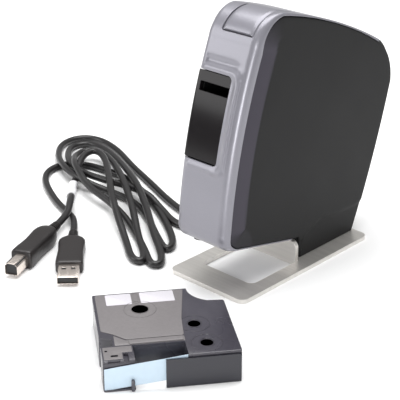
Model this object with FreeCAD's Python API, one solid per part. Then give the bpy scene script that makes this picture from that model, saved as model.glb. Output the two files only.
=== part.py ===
"""Desktop label maker on a bent aluminium stand, with its tape cassette and its USB lead.

Millimetres.  The origin is the centre of the stand plate's underside, X runs across the
machine, Y from front to rear and Z up.  The machine itself is drawn upright in its own
axes (x across, y rearward, z up) and then leaned back on the stand by lean().
"""
import FreeCAD
import Part
import math
import os

V = FreeCAD.Vector

# ---------------------------------------------------------------- driving dimensions
plate_width = 56.0          # stand plate, across
plate_depth = 113.6         # stand plate, front to rear
plate_thick = 2.5
plate_corner = 4.5
window_width = 38.0         # opening cut in the stand plate, whose flap is bent up
window_front = 17.7         # plate's front edge to the window
window_rear = 55.5          # plate's front edge to the window's rear edge
tab_height = 12.6           # bent-up flap, above the plate
tilt = 12.5                 # degrees that the machine leans back

body_thick = 36.0           # machine, across
body_height = 129.4         # underside to top, in the machine's own axes
body_depth = 134.2          # front to rear, in the machine's own axes
body_bottom = 25.5          # underside above the stand plate's front edge
front_set = -15.3           # foremost point of the front, from the plate's front edge
foot_front = 62.0           # foot on the plate, from the plate's front edge
foot_rear_gap = 2.2         # plate left behind the foot
wall = 2.0                  # moulded wall
clear = 0.3                 # clearance round a part that moves or drops in
snug = 0.05                 # radial running fit of pins and shafts

panel_set_front = 6.2       # silver rim seen beside the side panel, at the front
panel_set_top = 2.0         # the same along the top
panel_set_bottom = 1.2      # and along the underside
band_end = 18.9             # silver band stops this far short of the rear

window_right = 7.0          # front window, open to the door side
window_low = 45.0           # window's lower edge above the underside
window_high = 93.5          # window's upper edge above the underside
tape_line = 84.5            # label path above the underside
slot_height = 5.8           # label slot

button_left = -8.0
button_right = 13.5
button_drop = 13.8          # release button's lower seam, below the top
button_rear = 37.0          # release button's rear seam, behind the front

cass_width = 67.0           # cassette, along its tape side
cass_depth = 65.0
cass_height = 17.2
cass_wall = 1.2
cass_gap = 0.5              # play of the cassette in its bay
cass_corner = (76.2, -111.4)    # lying cassette: its front right corner
cass_turn = 52.9            # lying cassette: direction of its tape side, degrees
tape_width = 12.0

hinge_set = 14.4            # door hinge axis, in front of the rear
hinge_pin_radius = 1.0
knuckle_radius = 2.3
door_gap = 0.35

cord_dia = 4.5
hank_height = 11.0

# ---------------------------------------------------------------- values worked out
half = body_thick / 2
side_in = half - wall                       # inner face of a side panel
rear_set = front_set + body_depth
top = body_bottom + body_height
tape_z = body_bottom + tape_line
foot_rear = plate_depth - foot_rear_gap
tilt_rad = math.radians(tilt)
bay_front = front_set + 9.8
bay_rear = bay_front + cass_width
bay_bottom = tape_z + 1.0 - cass_depth
bay_deep = -side_in + cass_gap + cass_height + cass_gap     # x of the bay's floor
deck_thick = 1.6
deck_right = bay_deep + deck_thick
gear_low = deck_right + 2.0                 # x where the gears begin
gear_face = 3.0                             # gear width
gear_high = gear_low + gear_face

os.makedirs("parts", exist_ok=True)


# ---------------------------------------------------------------- drawing helpers
def save(name, shape):
    shape.exportStep("parts/" + name + ".step")


def lean(shape):
    """Machine axes to the stand: lean back, then set on the plate."""
    placed = shape.copy()
    placed.rotate(V(0, 0, 0), V(1, 0, 0), -tilt)
    placed.translate(V(0, -plate_depth / 2, plate_thick))
    return placed


def machine_point(y, z):
    """A point measured level from the plate's front edge, in the machine's axes."""
    return (y * math.cos(tilt_rad) - z * math.sin(tilt_rad),
            y * math.sin(tilt_rad) + z * math.cos(tilt_rad))


def block(x0, x1, y0, y1, z0, z1):
    return Part.makeBox(x1 - x0, y1 - y0, z1 - z0, V(x0, y0, z0))


def rod(radius, x0, x1, y, z):
    """Cylinder along x."""
    return Part.makeCylinder(radius, x1 - x0, V(x0, y, z), V(1, 0, 0))


def ring(outer, inner, x0, x1, y, z):
    return rod(outer, x0, x1, y, z).cut(rod(inner, x0 - 1, x1 + 1, y, z))


def face_yz(*pieces):
    """Face in the y-z plane from runs of two points (lines) or three points (arcs)."""
    edges = []
    for piece in pieces:
        points = [V(0, y, z) for y, z in piece]
        curve = Part.LineSegment(*points) if len(points) == 2 else Part.Arc(*points)
        edges.append(curve.toShape())
    return Part.Face(Part.Wire(edges))


def slab(face, x0, x1):
    moved = face.copy()
    moved.translate(V(x0, 0, 0))
    return moved.extrude(V(x1 - x0, 0, 0))


def polygon(points, x0, x1):
    wire = Part.makePolygon([V(x0, y, z) for y, z in points + points[:1]])
    return Part.Face(wire).extrude(V(x1 - x0, 0, 0))


def rounded_plate(width, depth, thick, radius):
    """Plate centred on z axis, lying on z = 0, with rounded vertical corners."""
    plate = Part.makeBox(width, depth, thick, V(-width / 2, -depth / 2, 0))
    upright = [e for e in plate.Edges if abs(e.tangentAt(e.FirstParameter).z) > 0.99]
    return plate.makeFillet(radius, upright)


def union(shapes):
    joined = shapes[0]
    for shape in shapes[1:]:
        joined = joined.fuse(shape)
    return joined.removeSplitter()


# ---------------------------------------------------------------- the machine's outline
def outline(front, top_in, bottom_in, foot_in):
    """Side outline of the machine, each side drawn in by the given amount."""
    y0 = front_set + front
    z0 = body_bottom + bottom_in
    z1 = top - top_in
    sole_rear = machine_point(foot_rear, foot_in)
    sole_front = machine_point(foot_front + foot_in, foot_in)
    notch = machine_point(foot_front - 2.9 + foot_in, 12.9 + foot_in)
    low_start = (y0 + 10.8, z0)
    low_end = (y0 + 2.9, z0 + 9.0)
    high_start = (y0 + 4.5, z1 - 18.9)
    high_end = (y0 + 23.0 - front, z1)
    back_start = (rear_set - 15.9, z1 - 14.5)
    back_end = (rear_set, z1 - 35.9)
    return face_yz(
        (low_start, (y0 + 5.0, z0 + 2.9), low_end),
        (low_end, (y0, z0 + 50.0), high_start),
        (high_start, (y0 + 9.8 - front * 0.35, z1 - 6.4), high_end),
        (high_end, (y0 + 70.0, z1 - 3.9), back_start),
        (back_start, (rear_set - 5.3, z1 - 23.6), back_end),
        (back_end, (rear_set - 2.4, z1 - 77.0), sole_rear),
        (sole_rear, sole_front),
        (sole_front, (notch[0], z0)),
        ((notch[0], z0), low_start))


skin = outline(0, 0, 0, 0)
hollow = skin.makeOffset2D(-wall)
panel = outline(panel_set_front, panel_set_top, panel_set_bottom, 0.0)
panel_open = panel.makeOffset2D(door_gap)
crease = [(front_set - 20, body_bottom - 20), (front_set - 20, body_bottom + 0.6),
          (front_set + 69.0, body_bottom + 0.6), (front_set + 88.0, body_bottom + 11.5),
          (rear_set + 20, body_bottom + 21.0), (rear_set + 20, body_bottom - 20)]
hinge_y = rear_set - hinge_set
door_rear = hinge_y - 3.1
door_strip = hinge_y + 3.3
door_region = slab(panel, -half, -side_in).cut(block(-99, 99, door_rear, 999, -99, 999))
door_region = door_region.cut(polygon(crease, -99, 99))
far = 400.0
rear_limit = rear_set - band_end


# ---------------------------------------------------------------- stand
def stand_plate():
    plate = rounded_plate(plate_width, plate_depth, plate_thick, plate_corner)
    hole = Part.makeBox(window_width, window_rear - window_front, plate_thick * 3,
                        V(-window_width / 2, window_front - plate_depth / 2, -plate_thick))
    front_corners = [e for e in hole.Edges
                     if abs(e.tangentAt(e.FirstParameter).z) > 0.99
                     and e.CenterOfMass.y < window_front - plate_depth / 2 + 1]
    plate = plate.cut(hole.makeFillet(plate_corner, front_corners))
    tab_y = window_rear - plate_depth / 2
    tab = Part.makeBox(window_width, plate_thick, tab_height + plate_thick,
                       V(-window_width / 2, tab_y, 0))
    tops = [e for e in tab.Edges if abs(e.tangentAt(e.FirstParameter).y) > 0.99
            and e.CenterOfMass.z > plate_thick]
    plate = plate.fuse(tab.makeFillet(plate_corner, tops))
    for x in (-screw_pitch / 2, screw_pitch / 2):
        plate = plate.cut(Part.makeCylinder(screw_radius + clear, 30, V(x, screw_y, -10)))
        plate = plate.cut(Part.makeCone(head_radius + 0.2, screw_radius + clear, 1.5,
                                        V(x, screw_y, 0)))
    return plate.removeSplitter()


screw_pitch = 22.0
screw_y = foot_front + 24.0 - plate_depth / 2
screw_radius = 1.5
head_radius = 2.8
screw_length = 9.0


def stand_screws():
    screws = []
    for x in (-screw_pitch / 2, screw_pitch / 2):
        head = Part.makeCone(head_radius, screw_radius, 1.4, V(x, screw_y, 0.1))
        shank = Part.makeCylinder(screw_radius, screw_length, V(x, screw_y, 0.1))
        screws.append(head.fuse(shank).removeSplitter())
    return Part.makeCompound(screws)


# ---------------------------------------------------------------- shells
def full_shell():
    """The whole machine as one skin, later split into its shells."""
    return slab(skin, -half, half).cut(slab(hollow, -side_in, side_in))


def front_region():
    """Where the silver band runs: front, top and the underside ahead of the foot."""
    whole = block(-far, far, front_set - 20, rear_limit, body_bottom - 20, top + 20)
    notch_y = machine_point(foot_front, 12.9)[0] - 6.0
    return whole.cut(block(-far, far, notch_y, far, -far, top - 60))


def front_band():
    band = full_shell().common(front_region())
    band = band.cut(slab(panel_open, -half - 1, -side_in + 0.1))
    band = band.cut(slab(panel_open, side_in - 0.1, half + 1))
    window = block(-half - 1, window_right, -far, bay_front - 1.0,
                   body_bottom + window_low, body_bottom + window_high)
    band = band.cut(window)
    band = band.cut(button_block(clear))
    for y in foot_places:
        band = band.cut(Part.makeCylinder(2.5, wall * 4, V(foot_x, y, body_bottom - 1)))
    return band.removeSplitter()


foot_x = -8.0
foot_places = (front_set + 14.0, front_set + 54.0)


def bottom_feet():
    """Two small rubber feet pressed into the underside."""
    feet = []
    for y in foot_places:
        stem = Part.makeCylinder(2.4, wall, V(foot_x, y, body_bottom))
        pad = Part.makeCylinder(3.2, 1.0, V(foot_x, y, body_bottom - 1.05))
        neck = Part.makeCylinder(2.4, 0.1, V(foot_x, y, body_bottom - 0.05))
        feet.append(stem.fuse(pad).fuse(neck).removeSplitter())
    return Part.makeCompound(feet)


def button_block(grow):
    """The corner of the top taken by the release button."""
    y1 = front_set + button_rear + grow * 3
    z0 = top - button_drop - grow
    return block(button_left - grow, button_right + grow, -far, y1, z0, far)


def release_button():
    cap = slab(skin, button_left, button_right).cut(slab(hollow, button_left - 1,
                                                         button_right + 1))
    cap = cap.common(button_block(0))
    finger_y = front_set + button_rear - 8.0
    finger = block(button_left + 1.0, button_left + 4.0, finger_y, finger_y + 5.0,
                   top - 9.0, top - wall + 0.2)
    return union([cap, finger])


def right_cover():
    plate = slab(panel, side_in, half)
    posts = [ring(3.2, case_screw_radius + snug, deck_right + 0.02, side_in + 0.1, y, z)
             for y, z in case_screw_places()]
    return union([plate] + posts)


def rear_case():
    shell = slab(skin, -half, side_in - 0.05).cut(slab(hollow, -side_in, half))
    shell = shell.cut(front_region())
    notch_y = machine_point(foot_front, 12.9)[0] - 6.0
    shell = shell.cut(block(-far, far, notch_y - 9, notch_y + 0.2, -far, top - 60))
    door_cut = slab(panel_open, -half - 1, -side_in + 0.1)
    door_cut = door_cut.cut(block(-far, far, door_strip, far, -far, far))
    low = polygon([(y, z - door_gap) for y, z in crease], -far, far)
    shell = shell.cut(door_cut.cut(low))
    # a foot block that the stand's screws enter
    sole_y, sole_z = machine_point(foot_front + 24.0, 0)
    boss = block(-screw_pitch / 2 - 4, screw_pitch / 2 + 4, sole_y - 5, sole_y + 5,
                 sole_z - 6, sole_z + 7)
    shell = shell.fuse(boss.common(slab(skin, -half, side_in)))
    # upper hinge knuckles stand on webs from the rear strip
    for z in (knuckle_z(0), knuckle_z(2)):
        shell = shell.fuse(knuckle(z, False))
    shell = shell.cut(hinge_bore())
    for name, y0, y1, z0, z1 in rear_ports:
        shell = shell.cut(block(port_x0 - clear, port_x1 + clear, rear_set - 25,
                                rear_set + 9, z0 - clear, z1 + clear))
    return shell.removeSplitter()


# ---------------------------------------------------------------- door and its hinge
knuckle_length = 12.0
hinge_low = body_bottom + 40.0
hinge_x = -side_in + 0.8


def knuckle_z(place):
    return hinge_low + place * (knuckle_length + clear)


def knuckle(z, on_door):
    barrel = Part.makeCylinder(knuckle_radius, knuckle_length, V(hinge_x, hinge_y, z))
    if on_door:
        web = block(-half + 0.2, hinge_x, door_rear - 3, hinge_y, z, z + knuckle_length)
    else:
        web = block(hinge_x - 0.8, hinge_x + 1.4, hinge_y, rear_set - 1.0, z,
                    z + knuckle_length)
        web = web.common(slab(skin, -half, half))
    return barrel.fuse(web)


def hinge_bore():
    span = knuckle_length * 3 + clear * 4
    return Part.makeCylinder(hinge_pin_radius + snug, span + 2,
                             V(hinge_x, hinge_y, hinge_low - 1))


def door_hinge_pin():
    span = knuckle_length * 3 + clear * 2
    return Part.makeCylinder(hinge_pin_radius, span, V(hinge_x, hinge_y, hinge_low))


def cassette_door():
    door = door_region
    door = door.fuse(knuckle(knuckle_z(1), True))
    door = door.cut(hinge_bore())
    # catch that the release button's finger holds
    catch_y = front_set + button_rear - 8.0
    lug = block(-side_in - 0.2, button_left - 0.6, catch_y, catch_y + 5.0,
                top - 12.0, top - 9.6)
    return union([door, lug])


# ---------------------------------------------------------------- front window
def exit_bezel():
    """Glossy insert: sunk 1 mm in the window, wrapped round the door-side corner."""
    z0 = body_bottom + window_low + 0.2
    z1 = body_bottom + window_high - 0.2
    sunk = skin.makeOffset2D(-0.8)
    back = skin.makeOffset2D(-3.2)
    pane = slab(sunk, -half + 0.8, window_right - 0.2).cut(
        slab(back, -half + 2.6, window_right + 1))
    pane = pane.common(block(-far, far, -far, bay_front - 1.2, z0, z1))
    pane = pane.cut(slab(panel_open, -half - 1, -side_in + 0.2))
    return pane.cut(label_slot())


def label_slot():
    return block(-far, window_right - 1.0, -far, bay_front,
                 tape_z - slot_height / 2, tape_z + slot_height / 2)


# ---------------------------------------------------------------- deck and bay
case_screw_radius = 1.1


def case_screw_places():
    inset = 9.5
    return [(front_set + inset + 16.5, body_bottom + inset),
            (front_set + inset + 8.0, top - inset - 9.0),
            (rear_set - 26.0, top - 34.0),
            (rear_set - 26.0, body_bottom + inset + 3.0)]


hub_place = (23.0, 46.0)         # spool centres in the cassette, along and behind
ribbon_feed_place = (48.0, 28.0)
ribbon_take_place = (51.3, 9.4)


def in_bay(along, behind):
    """Cassette position to the loaded position in the bay (y, z)."""
    return bay_front + along, bay_bottom + cass_depth - behind


def chassis():
    deck_outline = skin.makeOffset2D(-(wall + 0.4))
    deck = slab(deck_outline, bay_deep, deck_right)
    deck = deck.cut(block(-far, far, -far, bay_front - 0.6, -far, far))
    deck = deck.cut(block(-far, far, bay_rear - 8, far, -far, body_bottom + 1.0))
    rim_x0 = -side_in + 1.2
    g = cass_gap
    t = 1.2
    rim_low = block(rim_x0, bay_deep, bay_front, bay_rear + g + t,
                    bay_bottom - g - t, bay_bottom - g)
    rim_rear = block(rim_x0, bay_deep, bay_rear + g, bay_rear + g + t,
                     bay_bottom - g - t, bay_bottom + cass_depth - 18.0)
    shapes = [deck, rim_low, rim_rear]
    for place, radius in ((hub_place, 2.6), (ribbon_feed_place, 1.8)):
        y, z = in_bay(*place)
        shapes.append(rod(radius, bay_deep - 12.0, bay_deep + 0.5, y, z))
    body = union(shapes)
    for y, z in case_screw_places():
        body = body.cut(rod(case_screw_radius + 0.15, bay_deep - 1, deck_right + 1, y, z))
    body = body.cut(rod(shaft_radius + snug, bay_deep - 1, deck_right + 1, *platen_place))
    body = body.cut(rod(shaft_radius + snug, bay_deep - 1, deck_right + 1, *take_place))
    body = body.cut(rod(motor_shaft_radius + 1.5, bay_deep - 1, deck_right + 1,
                        *motor_place))
    # room under the release button
    body = body.cut(block(-far, far, -far, front_set + button_rear + 2.0,
                          top - button_drop - 1.0, far))
    # window that the print head reaches through
    hy, hz = head_place
    body = body.cut(block(bay_deep - 1, deck_right + 1, hy - 7.5, hy + 7.5, hz - 12.5,
                          hz + 0.5))
    # room for the sockets at the rear
    for name, y0, y1, z0, z1 in rear_ports:
        body = body.cut(block(-far, far, y0 - 1.0, far, z0 - 1.0, z1 + 1.0))
    for y, z in idler_places:
        body = body.fuse(rod(idler_pin_radius, bay_deep + 0.5, gear_high + 0.6, y, z))
    for y, z in board_posts():
        body = body.fuse(rod(2.4, bay_deep + 0.5, board_x0 - 0.02, y, z))
    py, pz = head_pivot
    body = body.fuse(rod(1.5, bay_deep + 0.5, deck_right + 2.6, py, pz))
    return body.removeSplitter()


# ---------------------------------------------------------------- feed mechanism
shaft_radius = 1.5
motor_shaft_radius = 1.0
idler_pin_radius = 1.2
roller_radius = 4.5
tip_gap = 0.1                   # meshing gears run with this between their tooth tips
half_module = 0.29              # radius for each tooth
platen_gear_radius = 7.0
idler_radius = 11.0
motor_gear_radius = 4.0
platen_place = (bay_front + 28.0, tape_z + 0.3 + roller_radius)


def step_from(centre, distance, angle):
    turn = math.radians(angle)
    return centre[0] + distance * math.cos(turn), centre[1] + distance * math.sin(turn)


idler_a_place = step_from(platen_place, platen_gear_radius + idler_radius + tip_gap, 14)
idler_b_place = step_from(idler_a_place, 2 * idler_radius + tip_gap, -22)
idler_places = [idler_a_place, idler_b_place]
motor_place = step_from(idler_b_place, idler_radius + motor_gear_radius + tip_gap, -30)
take_place = in_bay(*ribbon_take_place)
take_gear_radius = math.dist(take_place, idler_b_place) - idler_radius - tip_gap
head_place = (platen_place[0], tape_z - 0.3)
head_pivot = (head_place[0] + 13.0, head_place[1] - 20.0)


def teeth_of(radius):
    return round(radius / half_module)


def gear(radius, x0, x1, y, z, bore):
    """Spur gear with straight-flanked teeth and a lightening groove."""
    teeth = teeth_of(radius)
    depth = 0.9
    core = radius - depth
    step = 2 * math.pi / teeth
    points = []
    for tooth in range(teeth):
        for share, reach in ((-0.30, core), (-0.14, radius), (0.14, radius), (0.30, core)):
            turn = (tooth + share) * step
            points.append(V(x0, y + reach * math.cos(turn), z + reach * math.sin(turn)))
    wire = Part.makePolygon(points + points[:1])
    wheel = Part.Face(wire).extrude(V(x1 - x0, 0, 0))
    if radius > 8:
        wheel = wheel.cut(ring(core - 1.6, bore + 2.4, x1 - 0.8, x1 + 1, y, z))
    return wheel.cut(rod(bore, x0 - 1, x1 + 1, y, z)) if bore else wheel


def platen_roller():
    sleeve = ring(roller_radius, shaft_radius, -side_in + 2.5, bay_deep - 0.8,
                  *platen_place)
    return sleeve


def platen_shaft():
    wheel = gear(platen_gear_radius, gear_low, gear_high, *platen_place, 0)
    shaft = rod(shaft_radius, -side_in + 1.5, gear_high + 1.0, *platen_place)
    return union([wheel, shaft])


def ribbon_drive():
    wheel = gear(take_gear_radius, gear_low, gear_high, *take_place, 0)
    shaft = rod(shaft_radius, bay_deep - 13.0, gear_high + 1.0, *take_place)
    y, z = take_place
    splines = []
    for count in range(3):
        vane = block(bay_deep - 12.0, bay_deep - 1.0, y - 0.4, y + 0.4, z, z + 2.3)
        vane.rotate(V(0, y, z), V(1, 0, 0), count * 120)
        splines.append(vane)
    return union([wheel, shaft] + splines)


def idler(place):
    return gear(idler_radius, gear_low, gear_high, *place, idler_pin_radius + snug)


motor_radius = 10.0
motor_length = 17.0


def feed_motor():
    y, z = motor_place
    can = rod(motor_radius, bay_deep - motor_length - 0.02, bay_deep - 0.02, y, z)
    flat = block(-far, far, y - far, y + far, z + motor_radius - 1.5, far)
    nose = rod(3.0, bay_deep - motor_length - 1.2, bay_deep - motor_length, y, z)
    can = can.cut(flat).fuse(nose)
    return can.cut(rod(motor_shaft_radius + snug, -far, far, y, z)).removeSplitter()


def motor_pinion():
    wheel = gear(motor_gear_radius, gear_low, gear_high, *motor_place, 0)
    shaft = rod(motor_shaft_radius, bay_deep - motor_length + 1, gear_high + 0.5,
                *motor_place)
    return union([wheel, shaft])


def print_head():
    """Ceramic heating bar on its alloy carrier."""
    y, z = head_place
    bar = block(-side_in + 3.0, deck_right + 0.3, y - 2.0, y + 2.0, z - 9.0, z - 0.6)
    ridge = rod(0.6, -side_in + 3.0, bay_deep - 2.0, y, z - 0.6)
    return union([bar, ridge])


def head_arm():
    """Pressed arm that carries the head, swinging on a pin behind the deck."""
    y, z = head_place
    py, pz = head_pivot
    x0 = deck_right + 0.3
    x1 = x0 + 1.3
    arm = polygon([(y - 4.5, z - 1.0), (y + 4.5, z - 1.0), (py + 3.5, pz + 3.0),
                   (py + 3.5, pz - 3.5), (py - 3.5, pz - 3.5),
                   (y + 3.5, z - spring_top), (y - 4.5, z - spring_top)], x0, x1)
    pad = block(x0, x0 + 4.6, y - 4.5, y + 2.5, z - spring_top, z - spring_top + 1.1)
    return union([arm, pad]).cut(rod(1.5 + snug, -far, far, py, pz))


spring_wire = 0.5
spring_top = 11.0               # arm's spring pad, below the heating bar
spring_foot = 26.0              # bracket's face, below the heating bar
spring_turns = 5


def helix_spring(radius, wire, pitch, turns, base, axis):
    path = Part.makeHelix(pitch, pitch * turns, radius)
    start = V(radius, 0, 0)
    profile = Part.Wire(Part.Circle(start, V(0, 1, 0), wire).toShape())
    coil = Part.Wire(path).makePipeShell([profile], True, True)
    turn = FreeCAD.Rotation(V(0, 0, 1), axis)
    coil.Placement = FreeCAD.Placement(base, turn)
    return coil


def head_spring():
    """Compression spring that presses the head arm up."""
    y = head_place[0] - 1.0
    low = head_place[1] - spring_foot
    height = spring_foot - spring_top - 2 * spring_wire - 0.4
    return helix_spring(2.0, spring_wire * 0.8, height / spring_turns, spring_turns,
                        V(deck_right + 2.75, y, low + spring_wire), V(0, 0, 1))


def spring_seat():
    """Bracket on the deck under the head spring."""
    y = head_place[0] - 1.0
    low = head_place[1] - spring_foot
    foot = block(deck_right + 0.02, deck_right + 5.6, y - 3.2, y + 3.2, low - 1.6, low)
    peg = Part.makeCylinder(1.2, 4.0, V(deck_right + 2.75, y, low - 0.5))
    return union([foot, peg])


# ---------------------------------------------------------------- label cutter
cutter_y = bay_front - 3.4
rack_low = body_bottom + 24.0
cutter_pinion_radius = 4.0
cutter_pinion_place = (cutter_y + 1.2 + cutter_pinion_radius + tip_gap,
                       rack_low + 6.0)


def cutter_slide():
    """Blade holder and its toothed rack, sliding up behind the label slot."""
    carrier = block(-side_in + 2.2, gear_high, cutter_y - 0.2, cutter_y + 1.2,
                    tape_z - 19.0, tape_z - 12.2)
    rack = block(gear_low, gear_high, cutter_y - 1.2, cutter_y + 1.2 - 0.9,
                 rack_low - 4.0, tape_z - 12.2)
    teeth = []
    pitch = 1.6
    count = int(26.0 / pitch)
    for step in range(count):
        z = rack_low - 3.4 + step * pitch
        teeth.append(polygon([(cutter_y + 0.3 - 0.1, z), (cutter_y + 1.2, z + 0.45),
                              (cutter_y + 1.2, z + 0.85), (cutter_y + 0.3 - 0.1, z + 1.2)],
                             gear_low, gear_high))
    return union([carrier, rack] + teeth)


def cutter_blade():
    """Steel blade with a slanted edge, clamped to the holder."""
    y0 = cutter_y - 0.9
    blade = polygon([(y0, tape_z - 18.0), (y0 + 0.6, tape_z - 18.0),
                     (y0 + 0.6, tape_z - 4.4), (y0 + 0.1, tape_z - 3.2),
                     (y0, tape_z - 3.2)], -side_in + 2.6, deck_right)
    wedge = polygon([(y0 - 1, tape_z - 3.0), (y0 + 2, tape_z - 3.0),
                     (y0 + 2, tape_z + 1.0), (y0 - 1, tape_z + 1.0)],
                    -far, far)
    wedge.rotate(V(-side_in, 0, tape_z - 3.0), V(0, 1, 0), 4)
    return blade.cut(wedge)


def cutter_pinion():
    y, z = cutter_pinion_place
    wheel = gear(cutter_pinion_radius, gear_low, gear_high, y, z, 0)
    shaft = rod(motor_shaft_radius, gear_low - 0.5, side_in - 1.0, y, z)
    return union([wheel, shaft])


def cutter_motor():
    """Flat gearmotor on the inside of the right cover."""
    y, z = cutter_pinion_place
    can = rod(5.5, gear_high + 0.8, side_in - 0.02, y, z)
    boss = rod(2.4, gear_high + 0.4, gear_high + 0.9, y, z)
    return can.fuse(boss).cut(rod(motor_shaft_radius + snug, -far, side_in - 0.7, y, z))


# ---------------------------------------------------------------- electronics
board_x0 = side_in - 4.6
board_thick = 1.6
board_y0 = bay_front + 8.0
board_y1 = rear_set - 10.0
board_z0 = body_bottom + 14.0
board_z1 = body_bottom + 62.0
port_x0 = board_x0 - 11.2
port_x1 = board_x0 - 0.02
rear_ports = [("usb_socket", rear_set - 19.5, rear_set - 3.4, body_bottom + 36.0,
               body_bottom + 48.0),
              ("power_jack", rear_set - 19.0, rear_set - 3.8, body_bottom + 19.0,
               body_bottom + 28.0)]


def board_posts():
    return [(board_y0 + 5.0, board_z0 + 5.0), (board_y0 + 5.0, board_z1 - 5.0),
            (board_y1 - 24.0, board_z1 - 5.0), (board_y1 - 24.0, board_z0 + 5.0)]


def control_board():
    board = block(board_x0, board_x0 + board_thick, board_y0, board_y1, board_z0, board_z1)
    for y, z in board_posts():
        board = board.cut(rod(1.2, -far, far, y, z))
    for y, z in case_screw_places():
        board = board.cut(rod(3.8, -far, far, y, z))
    room = hollow.makeOffset2D(-clear)
    return board.common(slab(room, board_x0 - 1, board_x0 + board_thick + 1))


def board_parts():
    """Chips, a crystal can and the head connector on the board's inner face."""
    x1 = board_x0 - 0.02
    y, z = board_y0, board_z0
    items = [block(x1 - 1.4, x1, y + 30.0, y + 44.0, z + 18.0, z + 32.0),
             block(x1 - 1.2, x1, y + 54.0, y + 62.0, z + 26.0, z + 32.0),
             block(x1 - 3.2, x1, y + 12.0, y + 30.0, z + 33.0, z + 37.0),
             block(x1 - 2.4, x1, y + 48.0, y + 52.0, z + 10.0, z + 19.0),
             rod(3.0, x1 - 3.6, x1, y + 64.0, z + 12.0),
             rod(3.0, x1 - 3.6, x1, y + 64.0, z + 40.0)]
    return Part.makeCompound(items)


def usb_socket():
    y0, y1, z0, z1 = rear_ports[0][1:]
    shell = block(port_x0, port_x1, y0, y1, z0, z1)
    middle_x = (port_x0 + port_x1) / 2
    middle_z = (z0 + z1) / 2
    mouth = block(middle_x - 4.3, middle_x + 4.3, y1 - 9.0, y1 + 1, middle_z - 4.0,
                  middle_z + 4.0)
    tongue = block(middle_x - 2.8, middle_x + 2.8, y1 - 9.5, y1 - 1.5, middle_z - 1.6,
                   middle_z + 1.6)
    return union([shell.cut(mouth), tongue])


def power_jack():
    y0, y1, z0, z1 = rear_ports[1][1:]
    middle_x = (port_x0 + port_x1) / 2
    middle_z = (z0 + z1) / 2
    shell = block(middle_x - 4.5, port_x1, y0, y1, z0, z1)
    mouth = Part.makeCylinder(3.0, 10.0, V(middle_x, y1 - 9.0, middle_z), V(0, 1, 0))
    pin = Part.makeCylinder(0.9, 8.5, V(middle_x, y1 - 9.5, middle_z), V(0, 1, 0))
    return union([shell.cut(mouth), pin])


def case_screws():
    screws = []
    for y, z in case_screw_places():
        head = rod(2.4, bay_deep - 1.42, bay_deep - 0.02, y, z)
        shank = rod(case_screw_radius, bay_deep - 0.1, deck_right + 7.0, y, z)
        cross = block(bay_deep - 2, bay_deep - 0.9, y - 0.3, y + 0.3, z - 1.3, z + 1.3)
        slot = block(bay_deep - 2, bay_deep - 0.9, y - 1.3, y + 1.3, z - 0.3, z + 0.3)
        screws.append(union([head, shank]).cut(cross).cut(slot))
    return Part.makeCompound(screws)


def board_screws():
    screws = []
    for y, z in board_posts():
        x = board_x0 + board_thick
        head = rod(2.0, x + 0.02, x + 1.3, y, z)
        shank = rod(1.1, board_x0 + 0.02, x + 0.1, y, z)
        screws.append(union([head, shank]))
    return Part.makeCompound(screws)


# ---------------------------------------------------------------- tape cassette
def lay_down(shape):
    """Cassette axes (x along the tape side, y behind it, z up) to where it lies."""
    placed = shape.copy()
    placed.translate(V(-cass_width, 0, 0))
    placed.rotate(V(0, 0, 0), V(0, 0, 1), cass_turn)
    placed.translate(V(cass_corner[0], cass_corner[1], 0))
    return placed


def cassette_outline(inset):
    """Plan of the cassette: square left, scooped rear right, ear on the right."""
    w = cass_width - inset
    d = cass_depth - inset
    i = inset
    ear_x = w - 8.5 + i * 0.4
    ear_y = d - 15.0
    scoop_x = w - 17.5
    points = [((i, i), (w, i)), ((w, i), (w, ear_y)), ((w, ear_y), (ear_x, ear_y + 0.8)),
              ((ear_x, ear_y + 0.8), (w - 14.5, ear_y + 5.5), (scoop_x, d)),
              ((scoop_x, d), (i, d)), ((i, d), (i, i))]
    edges = []
    for piece in points:
        at = [V(x, y, 0) for x, y in piece]
        curve = Part.LineSegment(*at) if len(at) == 2 else Part.Arc(*at)
        edges.append(curve.toShape())
    return Part.Face(Part.Wire(edges))


lid_thick = 1.4
side_notch = 23.0               # finger notch on the left, behind the tape side
head_mouth = (15.4, 41.0, 12.5)     # print head opening: from, to, depth
post_place = 14.8


def cassette_prism(inset, z0, z1):
    face = cassette_outline(inset)
    face.translate(V(0, 0, z0))
    return face.extrude(V(0, 0, z1 - z0))


def cassette_cuts(shape):
    """Openings common to case and lid: the head mouth and the left notch."""
    x0, x1, deep = head_mouth
    shape = shape.cut(Part.makeBox(x1 - x0, deep + 2, 60, V(x0, -2, -20)))
    notch = Part.makeBox(7.0, 10.0, 60, V(-1, side_notch - 10.0, -20))
    return shape.cut(notch)


def hub_hole(radius, place):
    return Part.makeCylinder(radius, 80, V(place[0], place[1], -30))


spool_axles = ((hub_place, 5.0), (ribbon_feed_place, 4.4), (ribbon_take_place, 4.4))


mouth_low = 2.0             # lower edge of the slot that the tape leaves by


def cassette_case():
    seam = cass_height - lid_thick
    case = cassette_cuts(cassette_prism(0, 0, seam))
    room = cassette_prism(cass_wall, cass_wall, seam + 1)
    x0, x1, deep = head_mouth
    w = cass_wall
    room = room.cut(Part.makeBox(x1 - x0 + 2 * w, deep + w, 60, V(x0 - w, 0, -20)))
    room = room.cut(Part.makeBox(6.0 + w, 10.0 + 2 * w, 60,
                                 V(0, side_notch - 10.0 - w, -20)))
    case = case.cut(room)
    # mouth where the tape leaves, at the left end of the tape side
    case = case.cut(Part.makeBox(x0 + 1.0, 3.0, tape_width + 1.5, V(-1, -1, mouth_low)))
    for place, radius in spool_axles:
        case = case.cut(hub_hole(radius - 1.2, place))
    return union([case, Part.makeBox(1.6, 1.5, seam - 2.0, V(post_place - 1.6, -1.5, 0))])


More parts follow.
